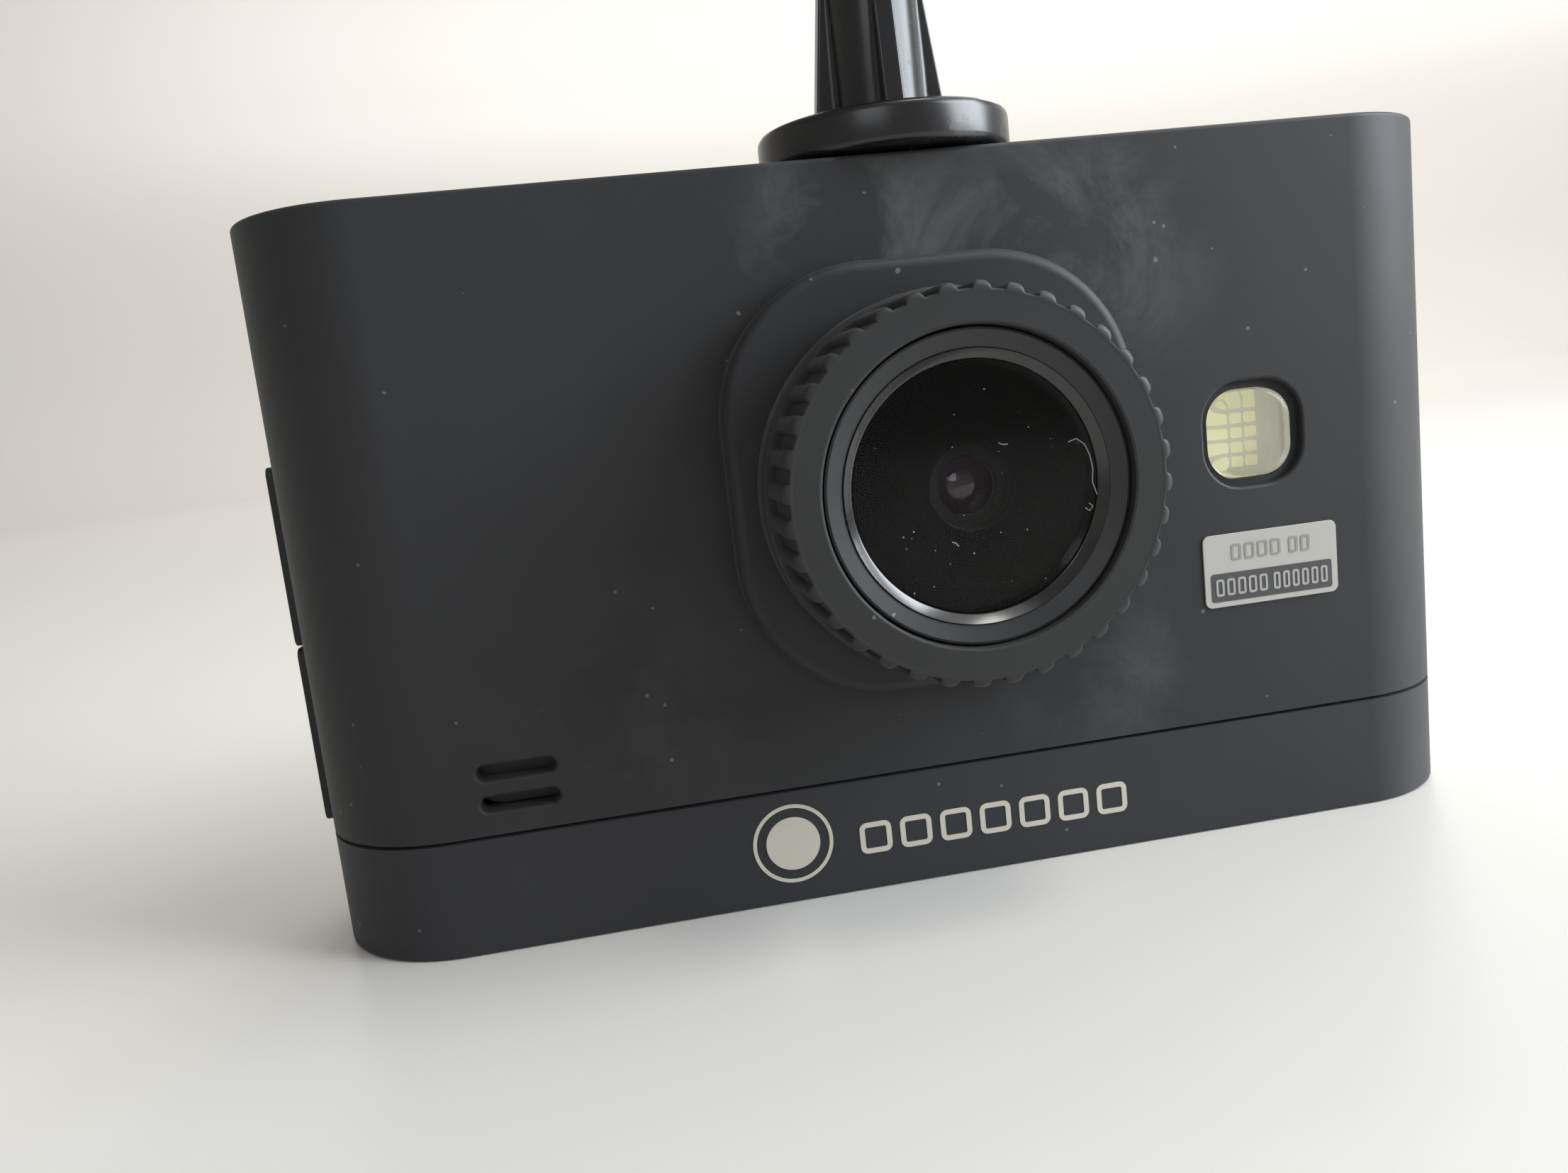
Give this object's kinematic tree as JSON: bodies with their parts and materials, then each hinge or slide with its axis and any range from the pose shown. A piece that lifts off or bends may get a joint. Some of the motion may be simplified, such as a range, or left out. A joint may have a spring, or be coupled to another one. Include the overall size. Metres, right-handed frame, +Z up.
{
  "type": "dash camera",
  "caption": "Windscreen dash camera: slim rounded body, fluted lens ring on a squarish boss, lamp window, display at the back and a ball-joint suction mount on a T-slot.",
  "frame": {"origin": "centre of the camera body's underside, on which it can stand", "axes": "+Z up, -Y the way the lens looks, +X to the right as seen from in front of the lens"},
  "size_m": [0.0835, 0.0582, 0.1167],
  "materials": {
    "shell": "soft-touch charcoal",
    "band": "soft-touch charcoal, slightly darker",
    "ring": "satin black, fluted",
    "tube": "satin black",
    "silver": "thin bright ring",
    "black_glass": "polished glass with a black mask",
    "optic": "coated optical glass",
    "barrel": "black anodised",
    "lamp_clear": "clear diffusing window",
    "phosphor": "yellow phosphor",
    "label": "printed label, two tones",
    "key": "soft-touch charcoal",
    "gloss_black": "glossy moulded black",
    "soft_cup": "soft translucent-edged black PVC",
    "liner": "nylon",
    "steel": "zinc plated",
    "tin": "tinned sheet",
    "spreader": "extruded",
    "board": "green solder mask",
    "chip": "moulded epoxy",
    "flex": "polyimide flex",
    "wrap": "foil pouch",
    "panel": "polished black-bordered window",
    "lcd": "display cell",
    "card": "moulded card"
  },
  "bodies": {
    "camera_body": {"front_shell": "shell", "rear_shell": "shell", "bottom_cover": "band", "slot_rail": "gloss_black", "display_window": "panel", "lcd_module": "lcd", "display_flex": "flex", "lens_tube": "tube", "retaining_clip": "steel", "trim_ring": "silver", "cover_glass": "black_glass", "lens_barrel": "barrel", "front_lens": "optic", "rear_lens": "optic", "lens_holder": "chip", "image_sensor": "chip", "sensor_board": "board", "board_connector": "chip", "lamp_window": "lamp_clear", "lamp_emitter": "phosphor", "lamp_board": "board", "info_label": "label", "main_board": "board", "processor": "chip", "memory_chip": "chip", "heat_spreader": "spreader", "battery": "wrap", "speaker": "chip", "microphone": "tin", "key_board": "board", "usb_socket": "tin", "card_socket": "tin", "tact_switches": "chip", "case_screws": "steel", "small_screws": "steel"},
    "bracket": {"mount_bracket": "gloss_black"},
    "ball_liner": {"socket_liner": "liner"},
    "suction_head": {"suction_housing": "gloss_black"},
    "lock_nut": {"lock_nut": "gloss_black"},
    "cup": {"suction_cup": "soft_cup", "cup_stem": "gloss_black", "lever_pin": "steel"},
    "lever": {"suction_lever": "gloss_black"},
    "turning_ring": {"knurled_ring": "ring"},
    "top_button": {"top_button": "key"},
    "upper_key": {"side_key_upper": "key"},
    "lower_key": {"side_key_lower": "key"},
    "memory_card": {"memory_card": "card"}
  },
  "joints": [
    {"name": "bracket_slide", "type": "slide", "parent": "camera_body", "child": "bracket", "axis": [0, 1, 0], "range_m": [0, 0.018]},
    {"name": "ball_pan", "type": "hinge", "parent": "bracket", "child": "ball_liner", "pos_m": [0.0022, -0.003, 0.0725], "axis": [0, 0, 1], "continuous": true},
    {"name": "ball_tilt", "type": "hinge", "parent": "ball_liner", "child": "suction_head", "pos_m": [0.0022, -0.003, 0.0725], "axis": [1, 0, 0], "range_deg": [-40, 16]},
    {"name": "nut_turn", "type": "hinge", "parent": "suction_head", "child": "lock_nut", "pos_m": [0.0022, -0.003, 0.0725], "axis": [0, -0.342, 0.9397], "range_deg": [-180, 0]},
    {"name": "lever_turn", "type": "hinge", "parent": "cup", "child": "lever", "pos_m": [0.0022, 0.00896, 0.08936], "axis": [-1, 0, 0], "range_deg": [0, 90]},
    {"name": "cup_slide", "type": "slide", "parent": "suction_head", "child": "cup", "axis": [0, -0.342, 0.9397], "range_m": [0, 0.0025]},
    {"name": "ring_turn", "type": "hinge", "parent": "camera_body", "child": "turning_ring", "pos_m": [0.0016, -0.015, 0.02745], "axis": [0, -1, 0], "range_deg": [-45, 45]},
    {"name": "top_press", "type": "slide", "parent": "camera_body", "child": "top_button", "axis": [0, 0, -1], "range_m": [0, 0.0004], "stiffness_N_per_m": 400},
    {"name": "upper_key_press", "type": "slide", "parent": "camera_body", "child": "upper_key", "axis": [1, 0, 0], "range_m": [0, 0.0004], "stiffness_N_per_m": 400},
    {"name": "lower_key_press", "type": "slide", "parent": "camera_body", "child": "lower_key", "axis": [1, 0, 0], "range_m": [0, 0.0004], "stiffness_N_per_m": 400},
    {"name": "card_slide", "type": "slide", "parent": "camera_body", "child": "memory_card", "axis": [1, 0, 0], "range_m": [0, 0.012]}
  ],
  "couplings": [
    {"joint": "lever_turn", "follows": "cup_slide", "rad_per_m": 628.3}
  ]
}
